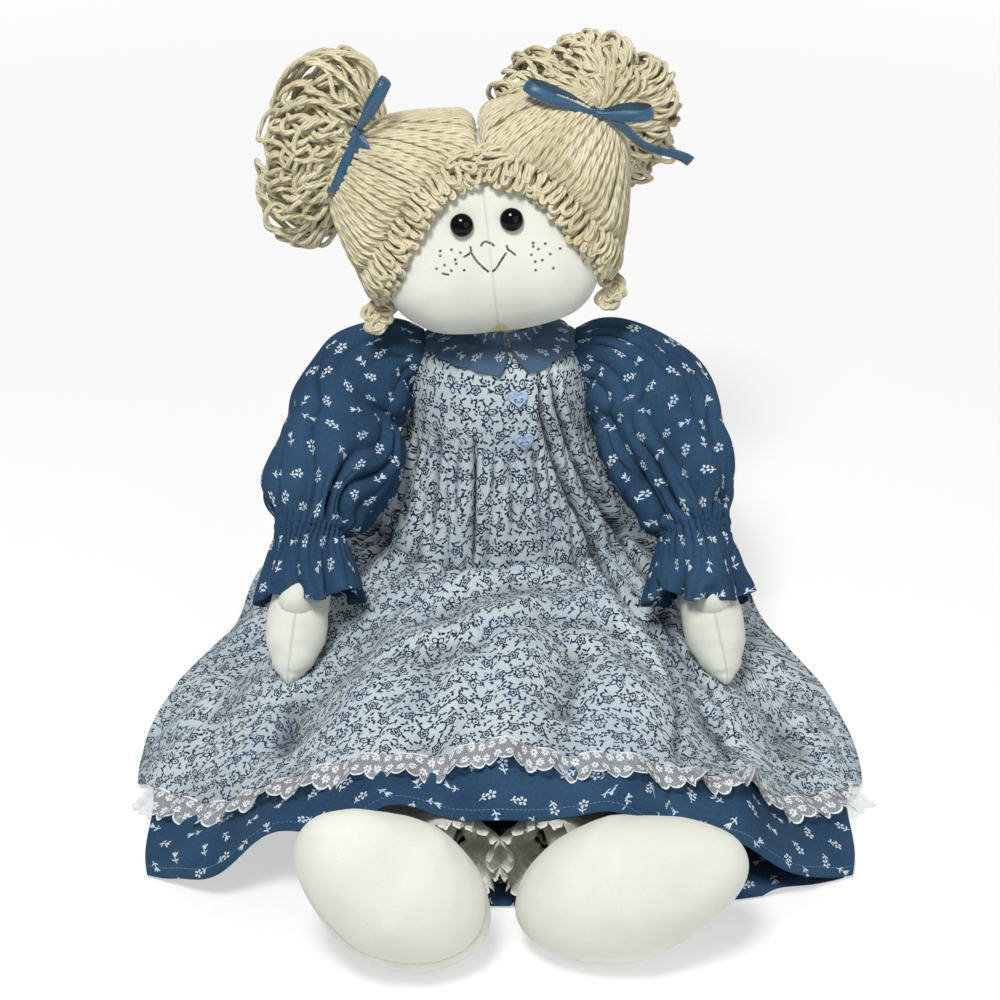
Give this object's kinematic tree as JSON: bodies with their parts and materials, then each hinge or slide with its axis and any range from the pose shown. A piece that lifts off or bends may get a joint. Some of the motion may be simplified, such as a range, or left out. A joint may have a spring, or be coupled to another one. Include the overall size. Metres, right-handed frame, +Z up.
{
  "type": "rag doll",
  "caption": "Seated stuffed cloth doll with looped yarn pigtails, satin bows, a calico dress, a lace-hemmed pinafore and lace-cuffed pantaloons.",
  "frame": {"origin": "on the surface that the doll sits on, under the seat, midway between the legs", "axes": "+Z up, -Y the way the doll faces, +X to the doll's own left"},
  "size_m": [0.3742, 0.41, 0.3228],
  "materials": {
    "muslin": "matte",
    "yarn": "matte",
    "blue_calico": "matte",
    "white_print": "matte",
    "white_cotton": "matte",
    "lace": "matte",
    "satin": "satin",
    "black_plastic": "gloss",
    "white_nylon": "satin",
    "pale_blue_plastic": "satin",
    "cotton_thread": "matte"
  },
  "bodies": {
    "torso": {"body": "muslin", "pantaloon_seat": "white_cotton", "dress_bodice": "blue_calico", "pinafore_bodice": "white_print", "left_collar": "blue_calico", "right_collar": "blue_calico", "upper_button": "pale_blue_plastic", "lower_button": "pale_blue_plastic", "upper_button_thread": "cotton_thread", "lower_button_thread": "cotton_thread", "dress_skirt_back": "blue_calico", "pinafore_skirt_back": "white_print"},
    "neck": {"neck": "muslin"},
    "head": {"head": "muslin", "left_eye": "black_plastic", "left_eye_washer": "white_nylon", "left_hair": "yarn", "left_fringe": "yarn", "left_pigtail": "yarn", "left_ribbon": "satin", "right_eye": "black_plastic", "right_eye_washer": "white_nylon", "right_hair": "yarn", "right_fringe": "yarn", "right_pigtail": "yarn", "right_ribbon": "satin"},
    "left_arm": {"left_arm": "muslin", "left_sleeve": "blue_calico", "left_sleeve_elastic": "cotton_thread"},
    "right_arm": {"right_arm": "muslin", "right_sleeve": "blue_calico", "right_sleeve_elastic": "cotton_thread"},
    "lap": {"dress_skirt_front": "blue_calico", "pinafore_skirt_front": "white_print", "pinafore_lace": "lace"},
    "left_leg": {"left_leg": "muslin", "left_pantaloon": "white_cotton", "left_pantaloon_lace": "lace"},
    "right_leg": {"right_leg": "muslin", "right_pantaloon": "white_cotton", "right_pantaloon_lace": "lace"}
  },
  "joints": [
    {"name": "head_nod", "type": "hinge", "parent": "torso", "child": "neck", "pos_m": [0, 0.036, 0.172], "axis": [1, 0, 0], "range_deg": [-10, 5], "deforming": ["neck", "left_collar", "right_collar"]},
    {"name": "head_turn", "type": "hinge", "parent": "neck", "child": "head", "pos_m": [0, 0.036, 0.18], "axis": [0, 0, 1], "range_deg": [-40, 35], "deforming": ["neck", "left_collar", "right_collar"]},
    {"name": "left_arm_raise", "type": "hinge", "parent": "torso", "child": "left_arm", "pos_m": [0.0465, 0.038, 0.153], "axis": [-1, 0, 0], "range_deg": [0, 60], "deforming": ["left_sleeve"]},
    {"name": "right_arm_raise", "type": "hinge", "parent": "torso", "child": "right_arm", "pos_m": [-0.0465, 0.038, 0.153], "axis": [-1, 0, 0], "range_deg": [0, 60], "deforming": ["right_sleeve"]},
    {"name": "hip_fold", "type": "hinge", "parent": "torso", "child": "lap", "pos_m": [0, -0.015, 0.024], "axis": [1, 0, 0], "range_deg": [0, 85], "deforming": ["dress_skirt_front", "pinafore_skirt_front", "pinafore_lace", "dress_skirt_back", "pinafore_skirt_back"]},
    {"name": "left_leg_splay", "type": "hinge", "parent": "lap", "child": "left_leg", "pos_m": [0.03, -0.015, 0.024], "axis": [0, 0, 1], "range_deg": [0, 12], "deforming": ["dress_skirt_front", "pinafore_skirt_front", "pinafore_lace"]},
    {"name": "right_leg_splay", "type": "hinge", "parent": "lap", "child": "right_leg", "pos_m": [-0.03, -0.015, 0.024], "axis": [0, 0, -1], "range_deg": [0, 12], "deforming": ["dress_skirt_front", "pinafore_skirt_front", "pinafore_lace"]}
  ]
}
